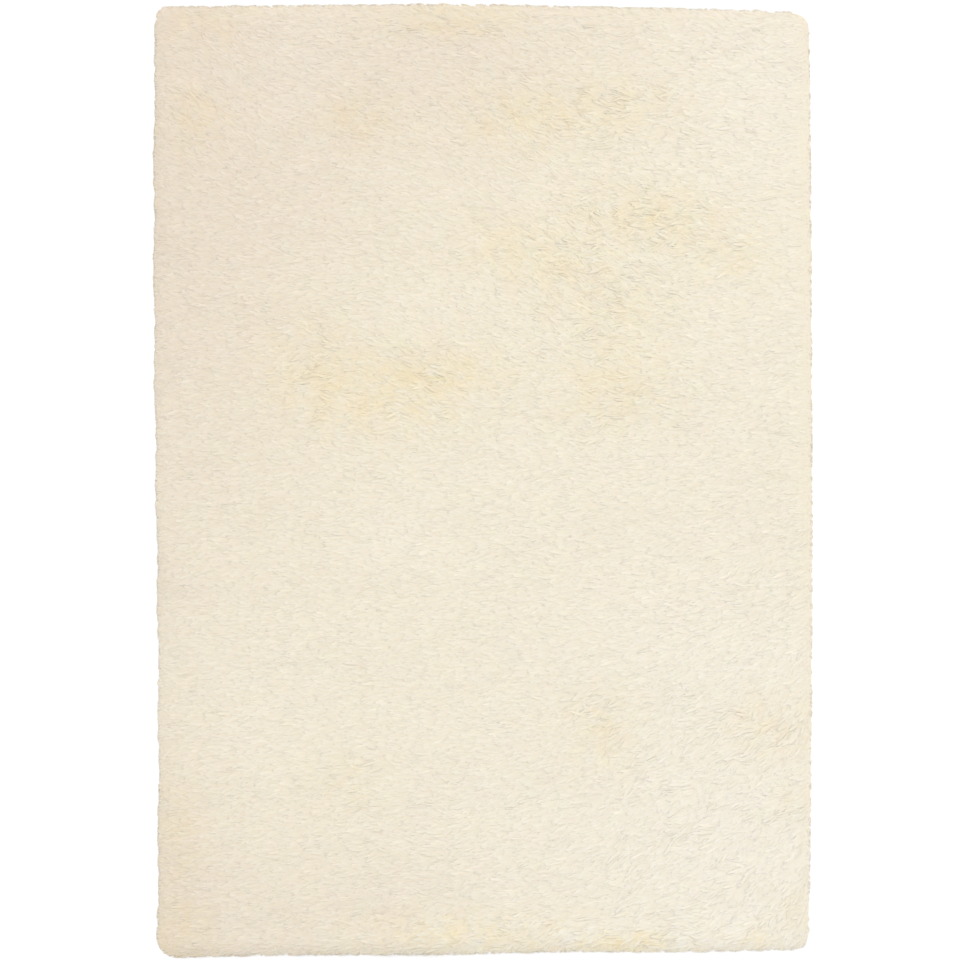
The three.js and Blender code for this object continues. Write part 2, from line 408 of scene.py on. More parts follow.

# %% [markdown]
# ## Tone and tousle
#
# Cream yarn is never one colour. Light catches the nap differently from swirl to swirl, so whole patches
# are painted a little yellower, pinker or paler than the rest: the pink ones darker as painted shade, the
# pale ones lighter as painted light, and the yellow ones warmer, partly as painted shade from deeper in the
# pile.
# Some patches are also more tousled: their locks turn further off the comb and stand up higher. Both could
# be painted by hand, but soft patches in a table are easier to move. Each has a middle, a span along both
# axes and a strength, and every point of the skin keeps the sum of them.

# %% Patches of tone and tousle
PATCHES = {
    "yellow": [
        {"x": -0.22, "y": 0.21, "across": 0.18, "along": 0.10, "strength": 0.65},
        {"x": -0.04, "y": 0.26, "across": 0.13, "along": 0.07, "strength": 0.45},
        {"x": -0.40, "y": 0.28, "across": 0.11, "along": 0.12, "strength": 0.42},
        {"x": 0.33, "y": 0.21, "across": 0.13, "along": 0.08, "strength": 0.45},
        {"x": 0.36, "y": 0.38, "across": 0.12, "along": 0.14, "strength": 0.30},
        {"x": 0.07, "y": 0.56, "across": 0.10, "along": 0.07, "strength": 0.45},
        {"x": 0.21, "y": 0.50, "across": 0.10, "along": 0.08, "strength": 0.45},
        {"x": 0.42, "y": 0.64, "across": 0.17, "along": 0.07, "strength": 0.60},
        {"x": 0.62, "y": 0.54, "across": 0.10, "along": 0.07, "strength": 0.40},
        {"x": 0.10, "y": 0.87, "across": 0.13, "along": 0.08, "strength": 0.50},
        {"x": 0.33, "y": 0.90, "across": 0.17, "along": 0.07, "strength": 0.40},
        {"x": -0.28, "y": 0.87, "across": 0.10, "along": 0.06, "strength": 0.45},
        {"x": -0.05, "y": 1.11, "across": 0.14, "along": 0.04, "strength": 0.60},
        {"x": -0.66, "y": 1.10, "across": 0.10, "along": 0.05, "strength": 0.40},
        {"x": -0.68, "y": 0.87, "across": 0.07, "along": 0.08, "strength": 0.45},
        {"x": 0.31, "y": -0.60, "across": 0.09, "along": 0.10, "strength": 0.45},
        {"x": 0.70, "y": -0.58, "across": 0.09, "along": 0.08, "strength": 0.45},
        {"x": -0.32, "y": -0.73, "across": 0.09, "along": 0.08, "strength": 0.25},
        {"x": -0.05, "y": -1.09, "across": 0.25, "along": 0.05, "strength": 0.50},
        {"x": 0.38, "y": -1.11, "across": 0.09, "along": 0.024, "strength": 0.75},
        {"x": 0.68, "y": -1.10, "across": 0.04, "along": 0.025, "strength": 0.50},
        {"x": 0.76, "y": -1.03, "across": 0.025, "along": 0.045, "strength": 0.55},
        {"x": 0.76, "y": -0.77, "across": 0.020, "along": 0.040, "strength": 0.55},
        {"x": 0.30, "y": -1.12, "across": 0.50, "along": 0.08, "strength": 0.35},
        {"x": -0.72, "y": -0.85, "across": 0.07, "along": 0.14, "strength": 0.40},
        {"x": -0.73, "y": -1.09, "across": 0.10, "along": 0.07, "strength": 0.50},
    ],
    "pink_shade": [
        {"x": -0.78, "y": 0.60, "across": 0.38, "along": 0.78, "strength": 1.00},
        {"x": -0.15, "y": 0.98, "across": 0.35, "along": 0.18, "strength": 0.45},
        {"x": 0.05, "y": 0.72, "across": 0.10, "along": 0.12, "strength": 0.20},
        {"x": -0.25, "y": -1.00, "across": 0.25, "along": 0.14, "strength": 0.40},
        {"x": -0.80, "y": -0.25, "across": 0.12, "along": 0.12, "strength": 0.40},
        {"x": -0.72, "y": 1.14, "across": 0.15, "along": 0.12, "strength": 0.25},
        {"x": -0.82, "y": -0.95, "across": 0.20, "along": 0.45, "strength": 0.70},
        {"x": 0.00, "y": 1.20, "across": 0.90, "along": 0.30, "strength": 0.45},
        {"x": -0.60, "y": -1.12, "across": 0.25, "along": 0.22, "strength": 0.50},
        {"x": -0.32, "y": 0.70, "across": 0.30, "along": 0.22, "strength": 0.35},
    ],
    "pale_light": [
        {"x": 0.68, "y": 0.98, "across": 0.22, "along": 0.26, "strength": 1.25},
        {"x": 0.72, "y": 0.42, "across": 0.28, "along": 0.36, "strength": 0.50},
        {"x": 0.72, "y": -1.05, "across": 0.38, "along": 0.35, "strength": 0.80},
        {"x": 0.68, "y": -0.75, "across": 0.40, "along": 0.65, "strength": 1.20},
        {"x": 0.20, "y": -0.10, "across": 0.50, "along": 0.40, "strength": 0.30},
        {"x": 0.30, "y": -1.12, "across": 0.60, "along": 0.08, "strength": 1.70},
        {"x": 0.15, "y": -0.85, "across": 0.50, "along": 0.40, "strength": 0.65},
        {"x": -0.55, "y": -0.50, "across": 0.20, "along": 0.20, "strength": 0.40},
        {"x": -0.20, "y": -0.12, "across": 0.12, "along": 0.10, "strength": 0.40},
        {"x": -0.42, "y": 1.00, "across": 0.08, "along": 0.14, "strength": 0.60},
        {"x": 0.60, "y": -0.40, "across": 0.30, "along": 0.14, "strength": 0.50},
    ],
}
TOUSLED = [
    {"x": -0.72, "y": 0.30, "across": 0.10, "along": 0.80, "strength": 0.05},
    {"x": 0.35, "y": 0.48, "across": 0.20, "along": 0.48, "strength": 0.45},
    {"x": 0.70, "y": -0.75, "across": 0.12, "along": 0.35, "strength": 0.20},
    {"x": 0.10, "y": 1.04, "across": 0.90, "along": 0.16, "strength": 0.14},
    {"x": 0.60, "y": 0.00, "across": 0.18, "along": 1.20, "strength": 0.14},
    {"x": 0.45, "y": -0.80, "across": 0.35, "along": 0.40, "strength": 0.25},
    {"x": -0.17, "y": -0.92, "across": 0.12, "along": 0.22, "strength": 0.25},
]
CALM = 0.50              # how tousled the pile is where nothing has ruffled it
YELLOW_TOUSLE = 0.7      # a yellow patch is tousled too, by this share of its strength


def sum_of_patches(patches, x, y):
    """The summed strength of soft round patches at these points."""
    total = np.zeros(x.shape)
    for patch in patches:
        reach = ((x - patch["x"]) / patch["across"]) ** 2 + ((y - patch["y"]) / patch["along"]) ** 2
        total += patch["strength"] * np.exp(-reach)
    return total


def tone_of(x, y):
    """The strength of each kind of tone, painted light and shade among them, at these points, as three
    numbers.
    """
    return np.stack([sum_of_patches(patches, x, y) for patches in PATCHES.values()], -1)


skin_tone = tone_of(skin_x, skin_y)
yellow_tone = skin_tone[..., 0]
skin_tousle = CALM + YELLOW_TOUSLE * yellow_tone + sum_of_patches(TOUSLED, skin_x, skin_y)
print("tousle", round(float(skin_tousle.min()), 2), "to", round(float(skin_tousle.max()), 2))
print("strongest tone", {kind: round(float(skin_tone[..., i].max()), 2) for i, kind in enumerate(PATCHES)})

# %% [markdown]
# ## A small kit for node trees
#
# Shader trees and geometry trees are wired the same way. Each node could be added, set and joined in lines
# of its own, but that buries the formula. This kit does it in one call and hands back the node's output, so
# a formula reads nearly as it would on paper.

# %% Kit for node trees
class Kit:
    """Adds nodes to one tree. Inputs are sockets to join or plain values to set."""

    def __init__(self, tree):
        self.tree = tree

    def node(self, kind, inputs=None, **settings):
        made = self.tree.nodes.new(kind)
        for name, value in settings.items():
            setattr(made, name, value)
        for name, value in (inputs or {}).items():
            if isinstance(value, bpy.types.NodeSocket):
                self.tree.links.new(value, made.inputs[name])
            else:
                made.inputs[name].default_value = value
        return made

    def math(self, operation, *values):
        return self.node("ShaderNodeMath", dict(enumerate(values)), operation=operation).outputs[0]

    def vector(self, operation, *values):
        made = self.node("ShaderNodeVectorMath", dict(enumerate(values)), operation=operation)
        return made.outputs["Value" if operation in ("DOT_PRODUCT", "LENGTH") else "Vector"]

    def scaled(self, vector, factor):
        inputs = {"Vector": vector, "Scale": factor}
        return self.node("ShaderNodeVectorMath", inputs, operation="SCALE").outputs["Vector"]

    def joined(self, x, y, z):
        return self.node("ShaderNodeCombineXYZ", {"X": x, "Y": y, "Z": z}).outputs[0]

    def parts(self, vector):
        return self.node("ShaderNodeSeparateXYZ", {"Vector": vector}).outputs

    def limited(self, value, low, high):
        return self.node("ShaderNodeClamp", {"Value": value, "Min": low, "Max": high}).outputs[0]

    def mixed(self, factor, first, second, kind="FLOAT", **settings):
        """Mix of two values, vectors or colours; the sockets of each kind have their own names."""
        made = self.node("ShaderNodeMix", data_type=kind, **settings)
        inputs = [s for s in made.inputs if s.enabled]
        for socket, value in zip(inputs, (factor, first, second)):
            if isinstance(value, bpy.types.NodeSocket):
                self.tree.links.new(value, socket)
            else:
                socket.default_value = value
        return next(s for s in made.outputs if s.enabled)


def group_sockets(tree, inputs, outputs):
    """Declares a tree's sockets by name, as (kind, value), and gives back its two end nodes."""
    for name, (kind, value) in inputs.items():
        socket = tree.interface.new_socket(name, in_out="INPUT", socket_type=kind)
        if value is not None:
            socket.default_value = value
    for name, kind in outputs.items():
        tree.interface.new_socket(name, in_out="OUTPUT", socket_type=kind)
    return tree.nodes.new("NodeGroupInput"), tree.nodes.new("NodeGroupOutput")


# %% [markdown]
# ## Finishes
#
# Two effects are shared. One is the colour of the yarn: darker at the root, as painted shade where less
# light reaches, and palest at the tip and on the crest, with painted shade down the lower flanks of each
# lock. It differs a little from lock to lock, one lock in eight has a painted glint on its tip, and the
# patches of tone, with their painted light and shade, and a fine mottle shift it from place to place. The
# other is the grain of fine fibres, a noise drawn out along them. Each could be wired anew in every
# material. Instead each is a group that is built once and placed where it is needed, with that material's
# own values.

# %% Group: colour of the yarn
# The casts of the patches: yellow is warmer, partly painted shade; pink is darker, painted shade; pale is
# lighter, painted light.
YELLOW_CAST = (0.998, 0.958, 0.840, 1.0)
PINK_SHADE_CAST = (0.930, 0.892, 0.900, 1.0)
PALE_LIGHT_CAST = (1.018, 1.028, 1.055, 1.0)
# Painted shade: a lock takes less of the tip's colour near its root and down its lower flanks, and more on
# its crest.
TIP_SHARE = 0.88             # of the tip's colour that a lock takes, halfway up its section
CREST_SHADE_SHARE = 0.20           # and so much more of it for each thickness above that
ROOT_REACH = 1.2             # over 1: the root's colour reaches further along the lock
WISPS = {"gain": 4.2, "start": -1.1, "most": 2.2}    # the mottle breaks a yellow patch up into wisps
# A painted glint: a few locks get a lighter tip.
GLINT_LOCKS = 8.0            # one lock in so many has a bright tip
HALF = (0.5, 0.5, 0.5)

COLOUR_INPUTS = {
    "Tip colour": ("NodeSocketColor", (0.9, 0.82, 0.68, 1)),
    "Root colour and shade": ("NodeSocketColor", (0.7, 0.6, 0.45, 1)),
    "Along": ("NodeSocketFloat", 1.0),
    "Crest": ("NodeSocketFloat", 0.6),
    "Lock tint": ("NodeSocketVector", HALF),
    "Tone": ("NodeSocketVector", (0.0, 0.0, 0.0)),
    "Tint spread": ("NodeSocketFloat", 0.05),
    "Glint": ("NodeSocketFloat", 0.0),
    "Streak": ("NodeSocketFloat", 0.5),
    "Streak spread": ("NodeSocketFloat", 0.05),
    "Mottle": ("NodeSocketVector", HALF),
    "Mottle spread": ("NodeSocketFloat", 0.03),
}


def build_yarn_colour():
    """The colour from root to tip with painted shade low in the pile, cast by tone and tint, and broken up
    by streaks and mottle.
    """
    tree = bpy.data.node_groups.new("yarn_colour", "ShaderNodeTree")
    start, end = group_sockets(tree, COLOUR_INPUTS, {"Color": "NodeSocketColor"})
    given = start.outputs
    kit = Kit(tree)

    # Root to tip, with painted shade towards the root and down each lock's lower flanks, and the patches of
    # tone with their painted light and shade.
    crest = kit.math("MULTIPLY_ADD", given["Crest"], CREST_SHADE_SHARE, TIP_SHARE)
    depth = kit.math("MULTIPLY", kit.math("POWER", given["Along"], ROOT_REACH), crest)
    colour = kit.mixed(depth, given["Root colour and shade"], given["Tip colour"], "RGBA")
    yellow, pink_shade, pale_light = kit.parts(given["Tone"])
    wisps = kit.math("MULTIPLY_ADD", kit.parts(given["Mottle"])["X"], WISPS["gain"], WISPS["start"])
    yellow = kit.math("MULTIPLY", yellow, kit.limited(wisps, 0.0, WISPS["most"]))
    for share, cast in ((yellow, YELLOW_CAST), (pink_shade, PINK_SHADE_CAST), (pale_light, PALE_LIGHT_CAST)):
        colour = kit.mixed(share, colour, cast, "RGBA", blend_type="MULTIPLY", clamp_factor=False)

    # Each lock's own shade and warmth, and a painted glint on its tip if it has one.
    own_shade, own_warmth, own_glint = kit.parts(given["Lock tint"])
    shade = kit.math("MULTIPLY_ADD", kit.math("SUBTRACT", own_shade, 0.5), given["Tint spread"], 1.0)
    warmth = kit.math("MULTIPLY", kit.math("SUBTRACT", own_warmth, 0.5), given["Tint spread"])
    glint = kit.limited(kit.math("MULTIPLY_ADD", own_glint, GLINT_LOCKS, 1 - GLINT_LOCKS), 0.0, 1.0)
    glint = kit.math("MULTIPLY", glint, given["Glint"])
    shade = kit.math("ADD", shade, kit.math("MULTIPLY", glint, given["Along"]))
    cast = kit.joined(shade, shade, kit.math("SUBTRACT", shade, warmth))

    # Streaks along the nap, painted lighter where their bump stands higher and darker where it dips, and
    # the mottle.
    streak = kit.math("SUBTRACT", given["Streak"], 0.5)
    streak = kit.math("MULTIPLY_ADD", streak, given["Streak spread"], 1.0)
    mottle = kit.scaled(kit.vector("SUBTRACT", given["Mottle"], HALF), given["Mottle spread"])
    cast = kit.vector("MULTIPLY", cast, kit.vector("ADD", mottle, (1.0, 1.0, 1.0)))
    tree.links.new(kit.scaled(kit.vector("MULTIPLY", colour, cast), streak), end.inputs["Color"])
    return tree


yarn_colour = build_yarn_colour()
print("group", yarn_colour.name, "with", len(yarn_colour.nodes), "nodes")

# %% Group: grain of fine fibres
NOISE_DETAIL = 2.0
NOISE_ROUGHNESS = 0.6


def build_fibre_grain():
    """A noise drawn out along Y, to the length of the fibres."""
    tree = bpy.data.node_groups.new("fibre_grain", "ShaderNodeTree")
    inputs = {
        "Place": ("NodeSocketVector", (0.0, 0.0, 0.0)),
        "Fibre breadth": ("NodeSocketFloat", 0.001),
        "Fibre length": ("NodeSocketFloat", 0.02),
        "Waver": ("NodeSocketFloat", 0.0),
    }
    start, end = group_sockets(tree, inputs, {"Height": "NodeSocketFloat"})
    kit = Kit(tree)
    place = kit.parts(start.outputs["Place"])
    across = kit.math("DIVIDE", place["X"], start.outputs["Fibre breadth"])
    along = kit.math("DIVIDE", place["Y"], start.outputs["Fibre length"])
    grain = kit.node("ShaderNodeTexNoise", {
        "Vector": kit.joined(across, along, place["Z"]), "Scale": 1.0, "Detail": NOISE_DETAIL,
        "Roughness": NOISE_ROUGHNESS, "Distortion": start.outputs["Waver"]})
    tree.links.new(grain.outputs["Fac"], end.inputs["Height"])
    return tree


fibre_grain = build_fibre_grain()


def grain_along(kit, place, breadth, length, waver=0.0):
    """The height of fibres of this breadth and length, which run along the place's Y."""
    inputs = {"Place": place, "Fibre breadth": breadth, "Fibre length": length, "Waver": waver}
    return kit.node("ShaderNodeGroup", inputs, node_tree=fibre_grain).outputs["Height"]


print("group", fibre_grain.name, "with", len(fibre_grain.nodes), "nodes")

# %% [markdown]
# ### Yarn of the pile
#
# The locks and the bed are the same yarn, so one function makes both materials. Broad streaks run on from
# lock to lock along the nap: their bumps are painted lighter where they stand higher and darker where they
# dip, as painted light and shade. Fine fibres run along each lock by itself. The bed's streaks are a little
# stronger, because it has no locks of its own to break it up.

# %% Material: pile
# The root's cream is darker and warmer: partly the yarn's own, partly painted shade deep in the pile.
TIP_CREAM = (0.924, 0.868, 0.738, 1.0)
ROOT_CREAM_AND_SHADE = (0.852, 0.766, 0.596, 1.0)
YARN_ROUGHNESS = 0.85
YARN_SPECULAR = 0.2          # yarn hardly shines
TINT_SPREAD = 0.035
GLINT = 0.065
MOTTLE_SCALE = 22.0
MOTTLE_SPREAD = 0.05
STREAK_LENGTH = 0.045
STREAK_WAVER = 0.7
FIBRE_BREADTH = 0.0008
FIBRE_LENGTH = 0.02
FIBRE_DEPTH = 0.00015


def attribute(kit, name):
    """What the mesh keeps under this name, as a vector."""
    return kit.node("ShaderNodeAttribute", attribute_name=name).outputs["Vector"]


def new_material(name, roughness):
    """A matt material, with a kit for its tree, and its shader."""
    material = bpy.data.materials.new(name)
    material.use_nodes = True
    shader = material.node_tree.nodes["Principled BSDF"]
    shader.inputs["Roughness"].default_value = roughness
    shader.inputs["Specular IOR Level"].default_value = YARN_SPECULAR
    return material, Kit(material.node_tree), shader


def pile_material(name, streak_breadth, streak_depth, streak_spread):
    """Yarn of the pile: streaks and fibres run along it, and it takes its tint and tone from the mesh."""
    material, kit, shader = new_material(name, YARN_ROUGHNESS)
    links = material.node_tree.links
    nap_place = attribute(kit, "nap_place")
    # The same streak noise lifts the bump and lightens the colour: painted light on the high parts, painted
    # shade in the low.
    streak = grain_along(kit, nap_place, streak_breadth, STREAK_LENGTH, STREAK_WAVER)
    fibre = grain_along(kit, attribute(kit, "yarn_place"), FIBRE_BREADTH, FIBRE_LENGTH)
    mottle = kit.node("ShaderNodeTexNoise", {
        "Vector": nap_place, "Scale": MOTTLE_SCALE, "Detail": NOISE_DETAIL, "Roughness": NOISE_ROUGHNESS})
    place = kit.parts(attribute(kit, "lock_place"))
    colour = kit.node("ShaderNodeGroup", {
        "Tip colour": TIP_CREAM, "Root colour and shade": ROOT_CREAM_AND_SHADE, "Along": place["Y"], "Crest": place["Z"],
        "Lock tint": attribute(kit, "lock_tint"), "Tone": attribute(kit, "tone"),
        "Tint spread": TINT_SPREAD, "Glint": GLINT, "Streak": streak, "Streak spread": streak_spread,
        "Mottle": mottle.outputs["Color"], "Mottle spread": MOTTLE_SPREAD}, node_tree=yarn_colour)
    links.new(colour.outputs["Color"], shader.inputs["Base Color"])
    fibre_height = kit.math("MULTIPLY", fibre, FIBRE_DEPTH)
    height = kit.math("ADD", kit.math("MULTIPLY", streak, streak_depth), fibre_height)
    bump = kit.node("ShaderNodeBump", {"Height": height, "Distance": 1.0})
    links.new(bump.outputs["Normal"], shader.inputs["Normal"])
    return material


pile = pile_material("pile_yarn", streak_breadth=0.0028, streak_depth=0.0004, streak_spread=0.055)
bed_finish = pile_material("bed_yarn", streak_breadth=0.0030, streak_depth=0.0006, streak_spread=0.08)
print("materials", pile.name, bed_finish.name)

# %% [markdown]
# ### Weave of the ground cloth
#
# The ground cloth is a plain weave, warp and weft crossing over and under each other. Modelled yarns would
# make a very heavy mesh that hardly anyone sees, so the weave is two sets of waves in the finish, with
# painted shade in the dips between the yarns.

# %% Material: ground cloth
CLOTH_COLOUR = (0.62, 0.54, 0.42, 1.0)
# The colour in the dips of the weave: painted shade.
CLOTH_DIP_SHADE = (0.36, 0.30, 0.22, 1.0)
CLOTH_ROUGHNESS = 0.9
CLOTH_BRIGHTNESS = 0.8
CLOTH_FIBRE = {"breadth": 0.0012, "length": 0.03}
CLOTH_FIBRE_SHARE = 0.4      # how far the fibres stand up, against the yarns' own roundness
YARN_PITCH = 0.0032
YARN_DEPTH = 0.0008


def ground_material():
    """A plain weave: warp and weft cross over and under, with painted shade in the dips between them."""
    material, kit, shader = new_material("ground_weave", CLOTH_ROUGHNESS)
    object_place = kit.node("ShaderNodeTexCoord").outputs["Object"]
    place = kit.parts(object_place)
    waves = []
    for axis in ("X", "Y"):
        waves.append(kit.math("SINE", kit.math("MULTIPLY", place[axis], math.pi / YARN_PITCH)))
    warp, weft = (kit.math("ABSOLUTE", wave) for wave in waves)
    over = kit.math("SIGN", kit.math("MULTIPLY", *waves))
    weave = kit.mixed(kit.math("MULTIPLY_ADD", over, 0.5, 0.5), warp, weft)
    grain = grain_along(kit, object_place, **CLOTH_FIBRE)
    height = kit.math("MULTIPLY_ADD", grain, CLOTH_FIBRE_SHARE, weave)
    # The lower the weave, the darker its colour: painted shade in the dips.
    shade = kit.limited(kit.math("MULTIPLY", height, CLOTH_BRIGHTNESS), 0.0, 1.0)
    bump = kit.node("ShaderNodeBump", {"Height": height, "Distance": YARN_DEPTH})
    links = material.node_tree.links
    links.new(kit.mixed(shade, CLOTH_DIP_SHADE, CLOTH_COLOUR, "RGBA"), shader.inputs["Base Color"])
    links.new(bump.outputs["Normal"], shader.inputs["Normal"])
    return material


ground_finish = ground_material()
print("material", ground_finish.name)

# %% [markdown]
# ## Ground cloth
#
# The cloth that the tufts are set in lies flat on the floor, and is nearly all that shows from below. It is
# a little smaller than the pile, which hangs over its edge all round. It is a thin closed sheet: two grids
# of the outline would do, but a flat underside needs only one face.

# %% Closed form between a flat underside and a grid on top
def closed_form(name, x, y, top, underside, rim_top):
    """A solid with a grid for its top, an upright edge and one flat face below."""
    rim = rim_of_grid(*x.shape)
    top = top.copy()
    top.ravel()[rim] = rim_top
    upper = np.stack([x.ravel(), y.ravel(), top.ravel()], 1)
    lower = upper[rim] * (1, 1, 0) + (0, 0, underside)
    faces = faces_of_grid(*x.shape)
    first = len(upper)
    count = len(rim)
    for k in range(count):
        after = (k + 1) % count
        faces.append((int(rim[after]), int(rim[k]), first + k, first + after))
    faces.append(tuple(range(first + count - 1, first - 1, -1)))
    mesh = bpy.data.meshes.new(name)
    mesh.from_pydata(np.concatenate([upper, lower]).tolist(), [], faces)
    mesh.polygons.foreach_set("use_smooth", [True] * (len(faces) - 1) + [False])
    made = bpy.data.objects.new(name, mesh)
    scene.collection.objects.link(made)
    return made


# %% Make the ground cloth
CLOTH_INSET = 0.020
CLOTH_THICKNESS = 0.0022
CLOTH_PITCH = 0.045
cloth_x, cloth_y, _ = spread_grid(CLOTH_PITCH, CLOTH_INSET)
cloth_top = np.full(cloth_x.shape, CLOTH_THICKNESS)
ground_cloth = closed_form("ground_cloth", cloth_x, cloth_y, cloth_top, 0.0, CLOTH_THICKNESS)
ground_cloth.data.materials.append(ground_finish)

# %% [markdown]
# ## Bed of the pile
#
# Between the ground cloth and the tips the fibre is so dense that it reads as one soft mass. More locks
# could fill it, but nobody would see them. A closed lumpy form under the locks stands for it instead, so
# nothing sees through to the cloth. It follows the slab's lumps, just under its skin.

# %% Keep numbers on a mesh
def keep_vector(mesh, name, values):
    """Stores three numbers for each point of the mesh under a name."""
    mesh.attributes.new(name, "FLOAT_VECTOR", "POINT").data.foreach_set("vector", values.ravel())


def keep_number(mesh, name, values):
    """Stores one number for each point of the mesh under a name."""
    mesh.attributes.new(name, "FLOAT", "POINT").data.foreach_set("value", values.ravel())


# %% Make the bed
BED_INSET = 0.001
BED_DEPTH = 0.0009       # below the slab's skin
BED_PITCH = 0.016
BED_LEAST = CLOTH_THICKNESS + 0.001      # its top stays this high, just above the ground cloth
BED_UNDERSIDE = CLOTH_THICKNESS * 0.5    # it starts halfway up the ground cloth
# The bed takes the colour of a lock's middle, so it carries much of the root's painted shade.
BED_PLACE = (0.0, 0.5, 0.0)              # its yarn has the colour of the middle of a lock

bed_x, bed_y, bed_rise = spread_grid(BED_PITCH, BED_INSET)
bed_top = np.maximum((pile_height(bed_x, bed_y) - BED_DEPTH) * bed_rise, BED_LEAST)
pile_bed = closed_form("pile_bed", bed_x, bed_y, bed_top, BED_UNDERSIDE, BED_LEAST)
pile_bed.data.materials.append(bed_finish)
bed_points = np.zeros((len(pile_bed.data.vertices), 3))
pile_bed.data.vertices.foreach_get("co", bed_points.ravel())
x, y, z = bed_points.T
bed_yarn = np.stack([across_comb(x, y), x, z], -1)
keep_vector(pile_bed.data, "tone", tone_of(x, y))
keep_vector(pile_bed.data, "yarn_place", bed_yarn)
keep_vector(pile_bed.data, "nap_place", bed_yarn)
keep_vector(pile_bed.data, "lock_place", np.tile(BED_PLACE, (len(bed_points), 1)))
keep_vector(pile_bed.data, "lock_tint", np.full(bed_points.shape, 0.5))
print("bed faces", len(pile_bed.data.polygons))

# %% [markdown]
# ## The skin that the locks start from
#
# The locks are scattered on the slab's own skin, a grid of its blurred heights. It isn't shown. Its points
# hold what each lock has to know where it starts: which way the comb leans there, how far off the rim is
# and which way it lies, how tousled the pile is, and the patches of tone.

# %% Make the skin
skin_z = pile_height(skin_x, skin_y) * skin_rise
skin_points = np.stack([skin_x.ravel(), skin_y.ravel(), skin_z.ravel()], 1)
skin_mesh = bpy.data.meshes.new("skin")
skin_mesh.from_pydata(skin_points.tolist(), [], faces_of_grid(*skin_x.shape))

comb_x, comb_y = comb_direction(skin_x, skin_y)
flat = np.zeros(skin_x.size)
keep_vector(skin_mesh, "comb", np.stack([comb_x.ravel(), comb_y.ravel(), flat], 1))
keep_vector(skin_mesh, "way_out", np.stack([edge_way[..., 0].ravel(), edge_way[..., 1].ravel(), flat], 1))
keep_vector(skin_mesh, "tone", skin_tone.reshape(-1, 3))
nap_place = np.stack([across_comb(skin_x, skin_y).ravel(), skin_x.ravel(), flat], 1)
keep_vector(skin_mesh, "skin_nap_place", nap_place)
keep_number(skin_mesh, "from_rim", edge_distance)
keep_number(skin_mesh, "tousle", skin_tousle)
print("skin", len(skin_mesh.vertices), "points")

# %% [markdown]
# ## One lock
#
# Every lock is bent from the same pattern: a straight, three-sided wisp, one long and one broad, that
# swells above its root and shrinks to a point. A rounder wisp would look the same from above, and with
# nearly sixty thousand copies this one may only have ten faces. Each point keeps its place in the pattern,
# so that the tree can bend the copies and the finish can find root and tip, and each corner has a place on
# a small map, on which the lock's colours can be baked.

# %% Pattern of a lock
# Each ring's share of the length from the root, and the share of the breadth that it has there.
LOCK_RINGS = [
    {"along": 0.0, "swell": 0.7},
    {"along": 0.50, "swell": 1.0},
    {"along": 0.80, "swell": 0.72},
]
LOCK_CORNERS = [(-0.5, -1.0), (0.5, -1.0), (0.0, 0.6)]   # across and up, for each of the three sides


def lock_pattern():
    """A straight wisp along Y: a face on its root, a band of faces to each ring, and a point."""
    points = []
    for ring in LOCK_RINGS:
        for x, z in LOCK_CORNERS:
            points.append((x * ring["swell"], ring["along"], z * ring["swell"]))
    tip = len(points)
    points.append((0.0, 1.0, 0.0))
    sides = len(LOCK_CORNERS)
    faces = [tuple(range(sides))]
    maps = [[(0.5, 0.0)] * sides]
    for ring in range(len(LOCK_RINGS)):
        for side in range(sides):
            a = ring * sides + side
            b = ring * sides + (side + 1) % sides
            left, right = side / sides, (side + 1) / sides
            low = LOCK_RINGS[ring]["along"]
            if ring == len(LOCK_RINGS) - 1:
                faces.append((b, a, tip))
                maps.append([(right, low), (left, low), ((left + right) / 2, 1.0)])
            else:
                high = LOCK_RINGS[ring + 1]["along"]
                faces.append((b, a, a + sides, b + sides))
                maps.append([(right, low), (left, low), (left, high), (right, high)])
    mesh = bpy.data.meshes.new("lock_pattern")
    mesh.from_pydata(points, [], faces)
    keep_vector(mesh, "lock_place", np.array(points))
    lock_map = mesh.uv_layers.new(name="OFBake")
    for loop, place in enumerate(place for face in maps for place in face):
        lock_map.data[loop].uv = place
    return bpy.data.objects.new("lock_pattern", mesh)


pattern = lock_pattern()
scene.collection.objects.link(pattern)
print("lock pattern", len(pattern.data.polygons), "faces")

# %% [markdown]
# ## Laying the locks
#
# Sixty thousand locks could come from a hair system or from a loop in Python. A Geometry Nodes tree is
# used, because its sizes are inputs with names, and its seeds are fixed, so it gives the same pile each
# time. It scatters points over the skin no nearer to each other than the spacing, keeps those of one
# strip of the rug, puts a straight lock on each, and then moves every point of every lock. The cells below
# build it in that order.

# %% Inputs of the tree
TREE_INPUTS = {
    "Geometry": ("NodeSocketGeometry", None),
    "Lock": ("NodeSocketObject", None),
    "Finish": ("NodeSocketMaterial", None),
    "Strip left": ("NodeSocketFloat", -1.0),
    "Strip right": ("NodeSocketFloat", 1.0),
    "Spacing": ("NodeSocketFloat", 0.0059),
    "Lock length": ("NodeSocketFloat", 0.060),
    "Lock breadth": ("NodeSocketFloat", 0.0068),
    "Lock thickness": ("NodeSocketFloat", 0.0008),
    "Root depth": ("NodeSocketFloat", 0.0014),
    "Rim margin": ("NodeSocketFloat", 0.005),
    "Turn spread": ("NodeSocketFloat", math.radians(22)),
    "Clump turn": ("NodeSocketFloat", math.radians(30)),
    "Clump size": ("NodeSocketFloat", 0.05),
    "Curl": ("NodeSocketFloat", 0.008),
    "Ruffle size": ("NodeSocketFloat", 0.085),
    "Map columns": ("NodeSocketFloat", 120.0),
    "Map rows": ("NodeSocketFloat", 120.0),
    "Seed": ("NodeSocketInt", 7),
}
